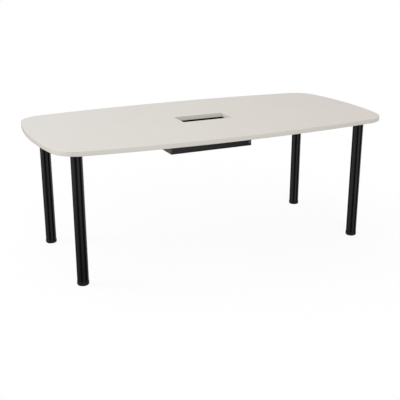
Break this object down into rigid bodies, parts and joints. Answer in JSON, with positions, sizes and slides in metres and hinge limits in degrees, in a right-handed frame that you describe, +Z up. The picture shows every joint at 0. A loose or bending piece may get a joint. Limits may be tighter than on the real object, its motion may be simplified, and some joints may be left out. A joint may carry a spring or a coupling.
{
  "type": "oval meeting table",
  "caption": "Meeting table with a bowed barrel-shaped top, an open cable cut-out over a hanging black cable tray, and round black legs on screw-adjusted levelling feet.",
  "frame": {"origin": "on the floor, under the middle of the table top", "axes": "+X along the length of the top, +Y from the front to the rear, +Z up"},
  "size_m": [1.9996, 1, 0.74],
  "materials": {
    "melamine_board": "warm off-white melamine on chipboard, matt pearl texture",
    "edge_band_abs": "off-white ABS edge band, satin",
    "black_powder_coat": "satin black powder coat on steel",
    "grey_powder_coat": "matt grey powder coat on steel",
    "black_plastic": "moulded black plastic, fine texture",
    "zinc_plated_steel": "bright zinc plating"
  },
  "bodies": {
    "table": {"table_top": "melamine_board", "edge_band": "edge_band_abs", "cutout_edge_band": "edge_band_abs", "cable_tray": "black_powder_coat", "tray_end_plate_left": "grey_powder_coat", "tray_end_plate_right": "grey_powder_coat", "tray_end_screw_left": "zinc_plated_steel", "tray_end_screw_right": "zinc_plated_steel", "leg_tube_front_left": "black_powder_coat", "leg_flange_front_left": "black_powder_coat", "leg_flange_screws_front_left": "zinc_plated_steel", "leg_grub_screw_front_left": "zinc_plated_steel", "foot_insert_front_left": "black_plastic", "foot_nut_front_left": "zinc_plated_steel", "rail_cap_front_left": "black_plastic", "leg_tube_front_right": "black_powder_coat", "leg_flange_front_right": "black_powder_coat", "leg_flange_screws_front_right": "zinc_plated_steel", "leg_grub_screw_front_right": "zinc_plated_steel", "foot_insert_front_right": "black_plastic", "foot_nut_front_right": "zinc_plated_steel", "rail_cap_front_right": "black_plastic", "leg_tube_rear_left": "black_powder_coat", "leg_flange_rear_left": "black_powder_coat", "leg_flange_screws_rear_left": "zinc_plated_steel", "leg_grub_screw_rear_left": "zinc_plated_steel", "foot_insert_rear_left": "black_plastic", "foot_nut_rear_left": "zinc_plated_steel", "rail_cap_rear_left": "black_plastic", "leg_tube_rear_right": "black_powder_coat", "leg_flange_rear_right": "black_powder_coat", "leg_flange_screws_rear_right": "zinc_plated_steel", "leg_grub_screw_rear_right": "zinc_plated_steel", "foot_insert_rear_right": "black_plastic", "foot_nut_rear_right": "zinc_plated_steel", "rail_cap_rear_right": "black_plastic", "stiffener_rail_front": "black_powder_coat", "rail_screws_front": "zinc_plated_steel", "tray_screws_front": "zinc_plated_steel", "stiffener_rail_rear": "black_powder_coat", "rail_screws_rear": "zinc_plated_steel", "tray_screws_rear": "zinc_plated_steel"},
    "foot_front_left": {"foot_glide_front_left": "black_plastic", "levelling_stem_front_left": "zinc_plated_steel"},
    "foot_front_right": {"foot_glide_front_right": "black_plastic", "levelling_stem_front_right": "zinc_plated_steel"},
    "foot_rear_left": {"foot_glide_rear_left": "black_plastic", "levelling_stem_rear_left": "zinc_plated_steel"},
    "foot_rear_right": {"foot_glide_rear_right": "black_plastic", "levelling_stem_rear_right": "zinc_plated_steel"}
  },
  "joints": [
    {"name": "level_front_left", "type": "slide", "parent": "table", "child": "foot_front_left", "axis": [0, 0, -1], "range_m": [0, 0.015]},
    {"name": "level_front_right", "type": "slide", "parent": "table", "child": "foot_front_right", "axis": [0, 0, -1], "range_m": [0, 0.015]},
    {"name": "level_rear_left", "type": "slide", "parent": "table", "child": "foot_rear_left", "axis": [0, 0, -1], "range_m": [0, 0.015]},
    {"name": "level_rear_right", "type": "slide", "parent": "table", "child": "foot_rear_right", "axis": [0, 0, -1], "range_m": [0, 0.015]}
  ]
}
